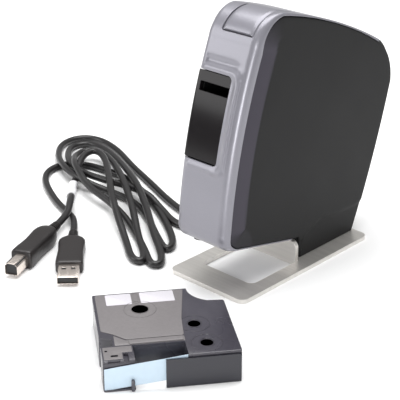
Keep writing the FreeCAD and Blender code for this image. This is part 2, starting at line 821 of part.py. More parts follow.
def cassette_lid():
    seam = cass_height - lid_thick
    lid = cassette_cuts(cassette_prism(0, seam + 0.02, cass_height))
    for place, radius in spool_axles:
        lid = lid.cut(hub_hole(radius - 1.2, place))
    return lid


def spool(place, hub, flange, z0, z1):
    x, y = place
    core = Part.makeCylinder(flange, z1 - z0, V(x, y, z0))
    bore = Part.makeCylinder(hub, 40, V(x, y, -10))
    teeth = []
    for count in range(6):
        tooth = Part.makeBox(1.0, 0.8, z1 - z0, V(x + hub - 0.9, y - 0.4, z0))
        tooth.rotate(V(x, y, 0), V(0, 0, 1), count * 60)
        teeth.append(tooth)
    return union([core.cut(bore)] + teeth)


spool_z0 = cass_wall + clear
spool_z1 = cass_height - lid_thick - clear
tape_roll_radius = 17.5


def tape_spool():
    """Roll of laminated tape on its core."""
    return spool(hub_place, 4.4, tape_roll_radius, spool_z0, spool_z1)


def ribbon_feed_spool():
    return spool(ribbon_feed_place, 3.4, 7.6, spool_z0, spool_z1)


def ribbon_take_spool():
    return spool(ribbon_take_place, 3.4, 6.6, spool_z0, spool_z1)


def tape_strip():
    """Free end of the tape across the head mouth, 0.3 mm behind the tape side."""
    return Part.makeBox(29.5, 0.25, tape_width, V(0.4, 0.35, mouth_low + 0.5))


def tape_guard():
    """Dark wall that closes the right half of the tape side."""
    x0 = 30.0
    guard = Part.makeBox(cass_width - x0 - 0.4, 0.9, cass_height - lid_thick - 0.4,
                         V(x0, -0.92, 0.2))
    return guard


def cassette_labels():
    """Two blank paper labels on the lid."""
    top_z = cass_height + 0.02
    left = Part.makeBox(13.2, 12.2, 0.15, V(6.6, cass_depth - 13.0, top_z))
    right = Part.makeBox(17.6, 12.2, 0.15, V(24.4, cass_depth - 12.8, top_z))
    return Part.makeCompound([left, right])


# ---------------------------------------------------------------- USB lead
def route_wire(points):
    """Straight runs joined by tangent arcs, each as large as its two runs allow."""
    edges = []
    start = V(*points[0])
    for before, here, after in zip(points, points[1:], points[2:]):
        a, b, c = V(*before), V(*here), V(*after)
        into, away = (b - a).normalize(), (c - b).normalize()
        turn = into.getAngle(away)
        reach = 0.45 * min((b - a).Length, (c - b).Length)
        radius = reach / math.tan(turn / 2)
        first, last = b - into * reach, b + away * reach
        middle = b + (away - into).normalize() * (radius / math.cos(turn / 2) - radius)
        edges.append(Part.LineSegment(start, first).toShape())
        edges.append(Part.Arc(first, middle, last).toShape())
        radii.append(round(radius, 1))
        start = last
    edges.append(Part.LineSegment(start, V(*points[-1])).toShape())
    return edges


radii = []


def tube(edges, radius):
    wire = Part.Wire(edges)
    first = edges[0]
    start = first.valueAt(first.FirstParameter)
    along = first.tangentAt(first.FirstParameter)
    profile = Part.Wire(Part.Circle(start, along, radius).toShape())
    pipe = wire.makePipeShell([profile], True, False)
    expected = math.pi * radius ** 2 * wire.Length
    print("tube length %.1f, volume against section times length %.4f"
          % (wire.Length, pipe.Volume / expected))
    return pipe


rest = cord_dia / 2             # a cord's centre when it lies on the table
over = rest + cord_dia + 0.4    # and where it passes over another strand
plug_a_rear = (-100.0, -66.0, 4.0)
plug_a_front = (-56.5, -108.0, 4.0)
plug_b_rear = (-112.5, -68.5, 5.8)
plug_b_front = (-87.0, -123.5, 5.8)

cord_a_route = [plug_a_rear, (-110.8, -55.6, 4.0), (-123.0, -48.5, rest + 0.2),
                (-141.0, -43.0, rest), (-159.0, -35.0, rest), (-175.0, -26.0, rest),
                (-186.0, -16.0, rest), (-190.0, -4.0, rest), (-186.0, 7.0, rest),
                (-176.0, 13.0, rest)]
cord_b_route = [plug_b_rear, (-118.8, -54.9, 5.8), (-126.0, -46.5, over + 0.9),
                (-134.0, -38.5, over + 0.4), (-144.0, -30.0, rest + 0.8),
                (-153.0, -21.5, rest), (-161.0, -11.0, rest + 0.3)]

hank_outline = [(-226.0, 27.0), (-219.0, 44.0), (-203.0, 52.0), (-184.0, 50.0),
                (-160.0, 44.0), (-120.0, 28.0), (-88.0, 11.0), (-66.0, -4.0),
                (-48.0, -22.0), (-34.0, -46.0), (-36.0, -58.0), (-50.0, -62.0),
                (-72.0, -50.0), (-100.0, -42.0), (-132.0, -33.0), (-158.0, -18.0),
                (-196.0, 2.0)]


def cord_hank():
    """Outer shape of the loosely gathered loops of the lead."""
    curve = Part.BSplineCurve()
    curve.interpolate([V(x, y, 0) for x, y in hank_outline], PeriodicFlag=True)
    face = Part.Face(Part.Wire(curve.toShape()))
    return face.extrude(V(0, 0, hank_height))


def along_plug(rear, front):
    """Placement whose x axis runs from a plug's rear to its mouth, level."""
    direction = V(front[0] - rear[0], front[1] - rear[1], 0)
    return FreeCAD.Placement(V(*rear), FreeCAD.Rotation(V(1, 0, 0), direction))


def level_box(x0, x1, width, height, radius):
    solid = Part.makeBox(x1 - x0, width, height, V(x0, -width / 2, -height / 2))
    if not radius:
        return solid
    long_edges = [e for e in solid.Edges if abs(e.tangentAt(e.FirstParameter).x) > 0.99]
    return solid.makeFillet(radius, long_edges)


def plug_pieces(rear, front, body_length, width, height, shell_width, shell_height,
                corner):
    """Overmould, metal shell and contact carrier of one USB plug."""
    total = math.dist(rear, front)
    relief = 9.0
    grip = level_box(relief, body_length, width, height, 1.8)
    neck = Part.makeCone(cord_dia / 2 + 0.6, min(width, height) / 2 - 0.2, relief,
                         V(0, 0, 0), V(1, 0, 0))
    body = union([grip, neck])
    shell = level_box(body_length + 0.02, total, shell_width, shell_height, corner)
    inner = level_box(body_length + 1.0, total + 1, shell_width - 0.7,
                      shell_height - 0.7, 0)
    shell = shell.cut(inner)
    carrier = level_box(body_length + 1.02, total - 1.2, shell_width - 1.1,
                        shell_height - 1.1, 0)
    place = along_plug(rear, front)
    result = []
    for solid in (body, shell, carrier):
        solid.Placement = place.multiply(solid.Placement)
        result.append(solid)
    return result


# ---------------------------------------------------------------- write every piece
save("stand_plate", stand_plate())
save("stand_screws", stand_screws())
machine = {
    "front_band": front_band,
    "bottom_feet": bottom_feet,
    "release_button": release_button,
    "right_cover": right_cover,
    "rear_case": rear_case,
    "door_hinge_pin": door_hinge_pin,
    "cassette_door": cassette_door,
    "exit_bezel": exit_bezel,
    "chassis": chassis,
    "platen_roller": platen_roller,
    "platen_shaft": platen_shaft,
    "ribbon_drive": ribbon_drive,
    "feed_motor": feed_motor,
    "motor_pinion": motor_pinion,
    "print_head": print_head,
    "head_arm": head_arm,
    "head_spring": head_spring,
    "spring_seat": spring_seat,
    "cutter_slide": cutter_slide,
    "cutter_blade": cutter_blade,
    "cutter_pinion": cutter_pinion,
    "cutter_motor": cutter_motor,
    "control_board": control_board,
    "board_parts": board_parts,
    "usb_socket": usb_socket,
    "power_jack": power_jack,
    "case_screws": case_screws,
    "board_screws": board_screws,
}
pieces = {name: maker() for name, maker in machine.items()}
pieces["idler_gear_a"] = idler(idler_a_place)
pieces["idler_gear_b"] = idler(idler_b_place)
# the stand's screws stand square to the plate, so their holes are cut after leaning
for name, shape in pieces.items():
    placed = lean(shape)
    if name == "rear_case":
        for x in (-screw_pitch / 2, screw_pitch / 2):
            placed = placed.cut(Part.makeCylinder(screw_radius + 0.02, screw_length + 0.3,
                                                  V(x, screw_y, 0)))
    save(name, placed)

cassette = {
    "cassette_case": cassette_case,
    "cassette_lid": cassette_lid,
    "tape_spool": tape_spool,
    "ribbon_feed_spool": ribbon_feed_spool,
    "ribbon_take_spool": ribbon_take_spool,
    "tape_strip": tape_strip,
    "tape_guard": tape_guard,
    "cassette_labels": cassette_labels,
}
for name, maker in cassette.items():
    save(name, lay_down(maker()))

hank = cord_hank()
save("cord_hank", hank)
edges_a = route_wire(cord_a_route)
edges_b = route_wire(cord_b_route)
save("cord_to_plug_a", tube(edges_a, rest).cut(hank))
save("cord_to_plug_b", tube(edges_b, rest).cut(hank))
sleeve_run = edges_b[6:11]
sleeve = tube(sleeve_run, rest + 0.9).cut(tube(sleeve_run, rest + 0.06))
save("tag_sleeve", sleeve.cut(hank))
names_a = ("plug_a_body", "plug_a_shell", "plug_a_insert")
names_b = ("plug_b_body", "plug_b_shell", "plug_b_insert")
solids_a = plug_pieces(plug_a_rear, plug_a_front, 45.0, 16.0, 8.0, 12.0, 4.5, 0.4)
solids_b = plug_pieces(plug_b_rear, plug_b_front, 48.0, 13.0, 11.4, 8.0, 7.3, 1.0)
for name, solid in zip(names_a + names_b, solids_a + solids_b):
    save(name, solid)
print("cord radii", radii)
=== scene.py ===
import math

import bmesh
import bpy
import numpy as np
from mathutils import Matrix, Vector


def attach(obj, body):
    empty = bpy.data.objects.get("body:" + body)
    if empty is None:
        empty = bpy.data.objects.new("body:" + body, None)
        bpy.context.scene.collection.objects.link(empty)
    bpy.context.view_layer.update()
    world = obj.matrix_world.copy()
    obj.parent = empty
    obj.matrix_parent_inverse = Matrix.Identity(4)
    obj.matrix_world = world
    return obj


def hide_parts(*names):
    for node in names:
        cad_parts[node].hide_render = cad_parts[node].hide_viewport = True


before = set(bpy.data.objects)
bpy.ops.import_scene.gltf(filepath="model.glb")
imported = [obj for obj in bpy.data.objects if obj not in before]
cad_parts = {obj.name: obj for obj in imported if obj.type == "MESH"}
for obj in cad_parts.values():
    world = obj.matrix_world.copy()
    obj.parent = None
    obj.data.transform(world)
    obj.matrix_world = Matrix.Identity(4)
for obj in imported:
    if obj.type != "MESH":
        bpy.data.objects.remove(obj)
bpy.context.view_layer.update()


# ---------------------------------------------------------------- camera
# A long lens looks down at the machine from its front right, level across,
# so that the narrow front and the long dark side both show.
camera = bpy.data.objects.new("camera", bpy.data.cameras.new("camera"))
camera.location = (0.3943, -0.4759, 0.3156)
camera.rotation_euler = (math.radians(65.55), 0.0, math.radians(43.525))
camera.data.sensor_width = 36.0
camera.data.lens = 106.08
camera.data.clip_start = 0.01
bpy.context.scene.collection.objects.link(camera)
bpy.context.scene.camera = camera


# ---------------------------------------------------------------- cord of the USB lead
# Round cable in a soft satin PVC jacket, folded into a flat hank of five long
# loops that has sprung loose: the turns lie over each other and fan out at both ends.
def tone(red, green, blue):
    """Linear colour of a display colour given from 0 to 255."""
    return tuple(((c / 255 + 0.055) / 1.055) ** 2.4 for c in (red, green, blue))


def surface(name, colour, rough, metal=0.0, grain=900.0, fleck=0.06, bump=0.12,
            spread=0.07, stretch=(1, 1, 1), coat=0.0, soften=0.0, shine=0.5, zone=None):
    """Finish with fine grain, broad tint, uneven gloss and a slight relief.

    zone is a second colour and the name of the mesh attribute that says where it lies."""
    material = bpy.data.materials.new(name)
    material.use_nodes = True
    material.diffuse_color = (*colour, 1)
    nodes = material.node_tree.nodes
    links = material.node_tree.links
    shader = nodes["Principled BSDF"]
    shader.inputs["Metallic"].default_value = metal
    shader.inputs["Coat Weight"].default_value = coat
    shader.inputs["Coat Roughness"].default_value = 0.12
    shader.inputs["Specular IOR Level"].default_value = shine
    place = nodes.new("ShaderNodeTexCoord")
    scale = nodes.new("ShaderNodeMapping")
    scale.inputs["Scale"].default_value = stretch
    links.new(place.outputs["Object"], scale.inputs["Vector"])
    found = []
    for size, detail in ((grain, 3.0), (31.0, 2.0)):
        noise = nodes.new("ShaderNodeTexNoise")
        noise.inputs["Scale"].default_value = size
        noise.inputs["Detail"].default_value = detail
        links.new(scale.outputs["Vector"], noise.inputs["Vector"])
        found.append(noise.outputs["Fac"])
    fine, broad = found
    both = nodes.new("ShaderNodeMath")
    both.operation = "MULTIPLY"
    links.new(fine, both.inputs[0])
    links.new(broad, both.inputs[1])
    level = nodes.new("ShaderNodeMapRange")
    level.inputs["From Min"].default_value = 0.1
    level.inputs["From Max"].default_value = 0.45
    links.new(both.outputs["Value"], level.inputs["Value"])
    tint = nodes.new("ShaderNodeMix")
    tint.data_type = "RGBA"
    tint.inputs[6].default_value = (*[c * (1 - fleck) for c in colour], 1)
    tint.inputs[7].default_value = (*[min(1, c * (1 + fleck)) for c in colour], 1)
    links.new(level.outputs["Result"], tint.inputs[0])
    colour_out = tint.outputs[2]
    if zone:
        where = nodes.new("ShaderNodeAttribute")
        where.attribute_name = zone[1]
        change = nodes.new("ShaderNodeMix")
        change.data_type = "RGBA"
        change.inputs[7].default_value = (*zone[0], 1)
        links.new(colour_out, change.inputs[6])
        links.new(where.outputs["Fac"], change.inputs[0])
        colour_out = change.outputs[2]
    links.new(colour_out, shader.inputs["Base Color"])
    gloss = nodes.new("ShaderNodeMapRange")
    gloss.inputs["To Min"].default_value = max(0.03, rough - spread)
    gloss.inputs["To Max"].default_value = min(1, rough + spread)
    links.new(broad, gloss.inputs["Value"])
    links.new(gloss.outputs["Result"], shader.inputs["Roughness"])
    relief = nodes.new("ShaderNodeBump")
    relief.inputs["Strength"].default_value = bump
    relief.inputs["Distance"].default_value = 0.0002
    links.new(fine, relief.inputs["Height"])
    if soften:
        edge = nodes.new("ShaderNodeBevel")
        edge.samples = 6
        edge.inputs["Radius"].default_value = soften
        links.new(edge.outputs["Normal"], relief.inputs["Normal"])
    links.new(relief.outputs["Normal"], shader.inputs["Normal"])
    return material


def face_out(mesh):
    """Turn every face outward."""
    shaped = bmesh.new()
    shaped.from_mesh(mesh)
    bmesh.ops.recalc_face_normals(shaped, faces=shaped.faces)
    shaped.to_mesh(mesh)
    shaped.free()


def settle(obj, material, body, slot, *nodes, angle=35):
    """Shade a finished mesh, then fix it to its body in place of its CAD nodes."""
    mesh = obj.data
    face_out(mesh)
    mesh.materials.clear()
    mesh.materials.append(material)
    mesh.polygons.foreach_set("use_smooth", [True] * len(mesh.polygons))
    mesh.set_sharp_from_angle(angle=math.radians(angle))
    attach(obj, body)
    if nodes:
        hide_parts(*nodes)
    return obj


def mesh_object(name, points, faces):
    """New object at the origin, its points given in metres."""
    mesh = bpy.data.meshes.new(name)
    mesh.from_pydata([tuple(p) for p in points], [], faces)
    obj = bpy.data.objects.new(name, mesh)
    bpy.context.scene.collection.objects.link(obj)
    return obj


def loft(name, rings):
    """Closed skin over rings of equally many points, capped at both ends."""
    count = len(rings[0])
    points = [p for one in rings for p in one]
    faces = [(i * count + j, i * count + (j + 1) % count,
              (i + 1) * count + (j + 1) % count, (i + 1) * count + j)
             for i in range(len(rings) - 1) for j in range(count)]
    faces.append(tuple(reversed(range(count))))
    faces.append(tuple(range(len(points) - count, len(points))))
    obj = mesh_object(name, points, faces)
    face_out(obj.data)
    return obj


cord_diameter = 4.5
cord_route = [
    (-100, -66, 4.0), (-110.8, -55.6, 4.0), (-123, -48.5, 2.45), (-141, -43, 2.3),
    (-159, -35, 2.3), (-175, -26, 2.3), (-186, -16, 2.3), (-190, -4, 2.3),
    (-186, 7, 2.3), (-176, 13, 2.3), (-160, 15, 2.3), (-140, 16, 2.3),
    (-111, 6, 2.3), (-82, -9, 2.3), (-60, -23, 2.3), (-47, -34, 2.3),
    (-46, -42, 2.3), (-62, -33, 2.3), (-85, -18, 2.3), (-106, -8, 2.3),
    (-126, -7, 2.5), (-141, -11, 4.2), (-155, -13, 6.9), (-174, -9, 6.9),
    (-199, 5, 4.2), (-219, 25, 2.3), (-220, 43, 2.3), (-206, 51, 2.3),
    (-182, 46, 2.3), (-152, 32, 2.3), (-123, 21, 2.3), (-99, 11, 2.3),
    (-78, 4, 2.3), (-63, 2, 2.3), (-54, -8, 2.3), (-66, -13, 2.3),
    (-89, -3, 2.5), (-105, 1, 6.9), (-123, 0, 6.9), (-142, -4, 6.9),
    (-161, -6, 7.2), (-178, -1, 7.2), (-199, 14, 4.2), (-211, 29, 2.3),
    (-205, 41, 2.3), (-185, 38, 4.2), (-154, 24, 6.9), (-116, 2, 11.0),
    (-92, -13, 7.0), (-65, -33, 4.2), (-45, -46, 2.3), (-35, -56, 2.3),
    (-39, -61, 2.3), (-55, -50, 2.3), (-77, -37, 2.3), (-97, -28, 4.2),
    (-116, -24, 7.0), (-139, -19, 7.2), (-155, -13, 11.0), (-171, -4, 11.0),
    (-187, 11, 7.0), (-189, 24, 6.9), (-177, 28, 6.9), (-151, 16, 8.6),
    (-115, -8, 11.2), (-88, -27, 7.0), (-70, -41, 2.5), (-52, -53, 2.3),
    (-45, -62, 2.3), (-53, -63, 2.3), (-71, -50, 2.5), (-89, -39, 6.9),
    (-110, -25, 11.2), (-136, -4, 11.2), (-160, 15, 11.2), (-176, 21, 11.2),
    (-177, 11, 11.2), (-169, -2, 8.5), (-161, -11, 4.4), (-153, -21.5, 2.5),
    (-144, -30, 3.05), (-134, -38.5, 7.55), (-126, -46.5, 8.05),
    (-118.8, -54.9, 5.8), (-112.5, -68.5, 5.8)]
cord_curve = bpy.data.curves.new("lead_cord", "CURVE")
cord_curve.dimensions = "3D"
cord_line = cord_curve.splines.new("NURBS")
cord_line.points.add(len(cord_route) - 1)
for control, (x, y, z) in zip(cord_line.points, cord_route):
    control.co = (x / 1000, y / 1000, z / 1000, 1)
cord_line.order_u = 3
cord_line.use_endpoint_u = True
cord_line.resolution_u = 10
cord = bpy.data.objects.new("lead_cord", cord_curve)
bpy.context.scene.collection.objects.link(cord)
bpy.context.view_layer.update()
cord_thread = bpy.data.meshes.new_from_object(cord)
cord_points = [v.co.copy() for v in cord_thread.vertices]
cord_curve.bevel_depth = cord_diameter / 2000
cord_curve.bevel_resolution = 5
cord_jacket = surface("cord_black", tone(27, 25, 26), 0.4, grain=1400, fleck=0.15,
                      bump=0.08, coat=0.15)
cord_curve.materials.append(cord_jacket)
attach(cord, "lead")
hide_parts("cord_hank", "cord_to_plug_a", "cord_to_plug_b")


# ---------------------------------------------------------------- paper sleeve on the cord
# White paper flag wrapped round the cord near the hank, blank, slightly
# crumpled; its overlap, standing off on one side, is not built here.
sleeve_paper = surface("sleeve_white", tone(238, 238, 240), 0.75, grain=500, fleck=0.05,
                       bump=0.3)
sleeve_line = [p for p in cord_points[len(cord_points) * 3 // 4:]
               if -0.158 < p.x < -0.1395 and -0.034 < p.y < -0.0165 and p.z < 0.006]
sleeve_rings = []
for skin, order in ((2.95, 1), (2.4, -1)):
    for i in range(len(sleeve_line))[::order]:
        ahead = sleeve_line[min(i + 1, len(sleeve_line) - 1)]
        along = (ahead - sleeve_line[max(i - 1, 0)]).normalized()
        across = along.cross(Vector((0, 0, 1))).normalized()
        above = across.cross(along)
        one = []
        for k in range(28):
            turn = math.tau * k / 28
            reach = skin + 0.18 * math.sin(3 * turn + i * 0.5) * (skin > 2.5)
            one.append(sleeve_line[i] + (across * math.cos(turn)
                                         + above * math.sin(turn)) * reach / 1000)
        sleeve_rings.append(one)
sleeve = loft("cord_sleeve", sleeve_rings)
settle(sleeve, sleeve_paper, "lead", "sleeve_white", "tag_sleeve")


# ---------------------------------------------------------------- flat plug of the lead
# USB-A plug: black PVC overmould with a ribbed strain relief and hollowed grip,
# and a folded nickel-plated shell with its two square spring windows.
def oval(origin, ahead, at, wide, high, square=2.0, count=48):
    """Ring round the plug's axis: an ellipse that squares off as square grows."""
    side = ahead.cross(Vector((0, 0, 1))).normalized()
    ring = []
    for k in range(count):
        c = math.cos(math.tau * k / count)
        s = math.sin(math.tau * k / count)
        u = math.copysign(abs(c) ** (2 / square), c) * wide
        v = math.copysign(abs(s) ** (2 / square), s) * high
        ring.append((origin + ahead * at + side * u + Vector((0, 0, v))) / 1000)
    return ring


def relief_rings(origin, ahead, length, small, large):
    """Strain relief: a tapering sleeve with a groove between each rib."""
    rings = [oval(origin, ahead, 0.0, small * 0.96, small * 0.96)]
    ribs = 5
    for k in range(ribs):
        size = small + (large - small) * k / ribs
        start = length * k / ribs
        pitch = length / ribs
        for at, reach in ((0.08, 1.0), (0.6, 1.03), (0.66, 0.86), (0.94, 0.86)):
            rings.append(oval(origin, ahead, start + pitch * at, size * reach, size * reach))
    return rings


def bar(name, origin, ahead, span, sides, heights):
    """Square bar beside the plug's axis, used to cut windows and slots."""
    side = ahead.cross(Vector((0, 0, 1))).normalized()
    rings = [[(origin + ahead * t + side * u + Vector((0, 0, v))) / 1000
              for u, v in ((sides[0], heights[0]), (sides[1], heights[0]),
                           (sides[1], heights[1]), (sides[0], heights[1]))]
             for t in span]
    return loft(name, rings)


def cut(obj, *tools):
    """Take the tools' volumes out of the piece, then drop them."""
    for tool in tools:
        change = obj.modifiers.new("cut", "BOOLEAN")
        change.operation = "DIFFERENCE"
        change.solver = "EXACT"
        change.object = tool
    bpy.context.view_layer.update()
    graph = bpy.context.evaluated_depsgraph_get()
    shaped = bpy.data.meshes.new_from_object(obj.evaluated_get(graph))
    obj.modifiers.clear()
    obj.data = shaped
    for tool in tools:
        bpy.data.objects.remove(tool)
    return obj


plug_plastic = surface("plug_black", tone(34, 30, 30), 0.36, grain=1100, fleck=0.1,
                       bump=0.2, soften=0.0003)
plug_nickel = surface("plug_metal", tone(222, 212, 204), 0.24, metal=0.95, grain=1500,
                      fleck=0.05, bump=0.05, soften=0.0002)
contact_plastic = surface("contact_black", tone(30, 30, 31), 0.5, grain=900, bump=0.1)
plug_a_start = Vector((-100, -66, 4.0))
plug_a_ahead = (Vector((-56.5, -108, 4.0)) - plug_a_start).normalized()
plug_a_rings = relief_rings(plug_a_start, plug_a_ahead, 9.0, 2.75, 3.3)
for at, wide, high, square in ((9.2, 3.9, 3.3, 2.3), (10.2, 5.6, 3.55, 2.8),
                               (12.0, 7.0, 3.8, 3.6), (14.5, 7.8, 3.95, 4.6),
                               (18.0, 8.0, 3.98, 5.2), (22.0, 7.7, 3.9, 5.2),
                               (28.0, 7.45, 3.75, 5.2), (34.0, 7.7, 3.9, 5.2),
                               (38.0, 7.95, 3.98, 5.4), (43.4, 7.95, 3.98, 5.6),
                               (44.5, 7.8, 3.85, 5.6), (45.0, 7.4, 3.5, 5.6)):
    plug_a_rings.append(oval(plug_a_start, plug_a_ahead, at, wide, high, square))
plug_a_body = loft("plug_a_overmould", plug_a_rings)
settle(plug_a_body, plug_plastic, "lead", "plug_black", "plug_a_body", angle=50)
plug_a_rings = [oval(plug_a_start, plug_a_ahead, at, wide, high, 16.0, 64)
                for at, wide, high in ((44.6, 5.98, 2.23), (60.2, 5.98, 2.23),
                                       (60.5, 5.85, 2.1), (60.5, 5.72, 1.97),
                                       (60.2, 5.66, 1.9), (47.0, 5.66, 1.9))]
plug_a_shell = loft("plug_a_can", plug_a_rings)
cut(plug_a_shell, *[bar("window", plug_a_start, plug_a_ahead, (48.6, 51.2), sides, (1.2, 3.2))
                    for sides in ((-3.9, -1.5), (1.5, 3.9))])
settle(plug_a_shell, plug_nickel, "lead", "plug_metal", "plug_a_shell")


# ---------------------------------------------------------------- square plug of the lead
# USB-B plug: a deeper black overmould, and a square nickel-plated shell whose two
# upper corners are cut off.
plug_b_start = Vector((-112.5, -68.5, 5.8))
plug_b_ahead = (Vector((-87, -123.5, 5.8)) - plug_b_start).normalized()
plug_b_rings = relief_rings(plug_b_start, plug_b_ahead, 9.0, 2.75, 3.4)
for at, wide, high, square in ((9.2, 3.9, 3.7, 2.4), (10.4, 5.0, 4.6, 2.8),
                               (12.5, 5.9, 5.2, 3.6), (16.0, 6.4, 5.6, 4.6),
                               (20.0, 6.5, 5.7, 5.2), (25.0, 6.2, 5.5, 5.2),
                               (31.0, 6.0, 5.35, 5.2), (37.0, 6.2, 5.5, 5.2),
                               (41.0, 6.45, 5.65, 5.4), (46.4, 6.45, 5.65, 5.4),
                               (47.5, 6.3, 5.5, 5.4), (48.0, 5.9, 5.1, 5.4)):
    plug_b_rings.append(oval(plug_b_start, plug_b_ahead, at, wide, high, square))
plug_b_body = loft("plug_b_overmould", plug_b_rings)
settle(plug_b_body, plug_plastic, "lead", "plug_black", "plug_b_body", angle=50)
plug_b_side = plug_b_ahead.cross(Vector((0, 0, 1))).normalized()
plug_b_rings = []
for at, thin in ((47.6, 0.0), (60.3, 0.0), (60.6, 0.12), (60.6, 0.28), (60.3, 0.4), (50.0, 0.4)):
    wide, high, flat, shoulder = 4.0 - thin, 3.65 - thin, 2.25 - thin * 0.4, 1.9 - thin * 0.4
    plug_b_rings.append([(plug_b_start + plug_b_ahead * at + plug_b_side * u
                          + Vector((0, 0, v))) / 1000
                         for u, v in ((-wide, -high + 0.5), (-wide + 0.5, -high),
                                      (wide - 0.5, -high),
                                      (wide, -high + 0.5), (wide, shoulder), (flat, high),
                                      (-flat, high), (-wide, shoulder))])
plug_b_shell = loft("plug_b_can", plug_b_rings)
settle(plug_b_shell, plug_nickel, "lead", "plug_metal", "plug_b_shell")
for name in ("plug_a_insert", "plug_b_insert"):
    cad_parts[name].data.materials.clear()
    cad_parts[name].data.materials.append(contact_plastic)


# ---------------------------------------------------------------- table and light
# Plain white table that keeps the soft shadows, lit by a broad softbox overhead, a low
# one from the front right that runs a white line down the rims, and a weak fill.
def softbox(name, place, aim, width, height, power):
    light = bpy.data.lights.new(name, "AREA")
    light.shape = "RECTANGLE"
    light.size = width
    light.size_y = height
    light.energy = power
    lamp = bpy.data.objects.new(name, light)
    lamp.location = place
    lamp.rotation_euler = (Vector(aim) - Vector(place)).to_track_quat("-Z", "Y").to_euler()
    bpy.context.scene.collection.objects.link(lamp)


floor_side = 3.0
floor = mesh_object("table", [(-floor_side, -floor_side, 0), (floor_side, -floor_side, 0),
                              (floor_side, floor_side, 0), (-floor_side, floor_side, 0)],
                    [(0, 1, 2, 3)])
floor.data.materials.append(surface("table_white", tone(252, 252, 252), 0.9, grain=60,
                                    fleck=0.004, bump=0.0))
world = bpy.data.worlds.new("room")
world.use_nodes = True
world.node_tree.nodes["Background"].inputs["Color"].default_value = (1.0, 1.0, 1.0, 1)
rays = world.node_tree.nodes.new("ShaderNodeLightPath")
strength = world.node_tree.nodes.new("ShaderNodeMath")
strength.operation = "MULTIPLY_ADD"
strength.inputs[1].default_value = 0.6
strength.inputs[2].default_value = 0.4
world.node_tree.links.new(rays.outputs["Is Camera Ray"], strength.inputs[0])
world.node_tree.links.new(strength.outputs["Value"],
                          world.node_tree.nodes["Background"].inputs["Strength"])
bpy.context.scene.world = world
softbox("overhead", (-0.1, 0.1, 1.1), (0, -0.02, 0), 1.1, 1.1, 17.0)
softbox("key", (0.8, -0.95, 0.2), (0, -0.03, 0.08), 0.3, 0.45, 6.5)
softbox("fill", (-0.75, -0.7, 0.45), (0, 0, 0.06), 0.6, 0.6, 3.5)
bpy.context.scene.view_settings.view_transform = "Standard"


# ---------------------------------------------------------------- stand plate and its screws
# Bent 2.5 mm aluminium strip, brushed across and anodised a warm pale grey; two
# countersunk steel screws go up through it into the machine's foot.
def dress(material, *names):
    """Give CAD nodes that keep their shape their finish."""
    for name in names:
        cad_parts[name].data.materials.clear()
        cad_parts[name].data.materials.append(material)


stand_alloy = surface("stand_alloy", tone(222, 219, 214), 0.32, metal=0.7, grain=420,
                      fleck=0.1, bump=0.1, stretch=(0.04, 1, 1), soften=0.0004)
screw_steel = surface("steel", tone(150, 150, 152), 0.3, metal=1.0, grain=1300,
                      fleck=0.1, bump=0.08, soften=0.0002)
dress(stand_alloy, "stand_plate")
dress(screw_steel, "stand_screws")


# ---------------------------------------------------------------- rear case
# Near-black moulded shell with a fine spark-eroded texture; it makes the back, the
# foot and the hinge side's rear strip, and it holds the rear ports.
shell_plastic = surface("black_shell", tone(34, 34, 36), 0.5, grain=1600, fleck=0.1,
                        bump=0.25, soften=0.0009, shine=0.3)
dress(shell_plastic, "rear_case")


# ---------------------------------------------------------------- chassis and mechanism
# Dark grey moulded deck with the cassette bay; on it the motor, the idler gears and
# platen in white acetal, the sprung print head and the label cutter.
deck_plastic = surface("deck_plastic", tone(70, 70, 74), 0.55, grain=900, fleck=0.08,
                       bump=0.2, soften=0.0003)
gear_acetal = surface("gear_plastic", tone(222, 220, 212), 0.4, grain=700, fleck=0.05,
                      bump=0.1, soften=0.0001)
platen_rubber = surface("rubber_black", tone(34, 34, 35), 0.8, grain=1500, fleck=0.12,
                        bump=0.35, soften=0.0002)
head_ceramic = surface("head_ceramic", tone(232, 226, 214), 0.35, grain=800, fleck=0.06,
                       bump=0.1)
board_lacquer = surface("board_green", tone(30, 84, 52), 0.35, grain=600, fleck=0.2,
                        bump=0.12, coat=0.3)
chip_resin = surface("chip_black", tone(32, 32, 34), 0.6, grain=1800, fleck=0.15, bump=0.2)
dress(deck_plastic, "chassis", "spring_seat", "ribbon_drive", "head_arm", "cutter_slide")
dress(gear_acetal, "idler_gear_a", "idler_gear_b", "motor_pinion", "cutter_pinion")
dress(screw_steel, "feed_motor", "cutter_motor", "platen_shaft", "head_spring",
      "cutter_blade", "case_screws", "board_screws", "door_hinge_pin")
dress(platen_rubber, "platen_roller", "bottom_feet")
dress(head_ceramic, "print_head")
dress(board_lacquer, "control_board")
dress(chip_resin, "board_parts", "power_jack")
dress(plug_nickel, "usb_socket")


# ---------------------------------------------------------------- silver front band
# Injection-moulded ABS band in silver metallic paint; it wraps the underside, front
# and top, turns over both sides in a soft rim and carries a raised moulding
# that frames the label window.
lean_angle = math.radians(12.5)


def leaned(x, y, z):
    """Point in the machine's own axes, in mm, to its place on the stand, in metres."""
    return Vector((x, y * math.cos(lean_angle) + z * math.sin(lean_angle) - 56.8,
                   z * math.cos(lean_angle) - y * math.sin(lean_angle) + 2.5)) / 1000


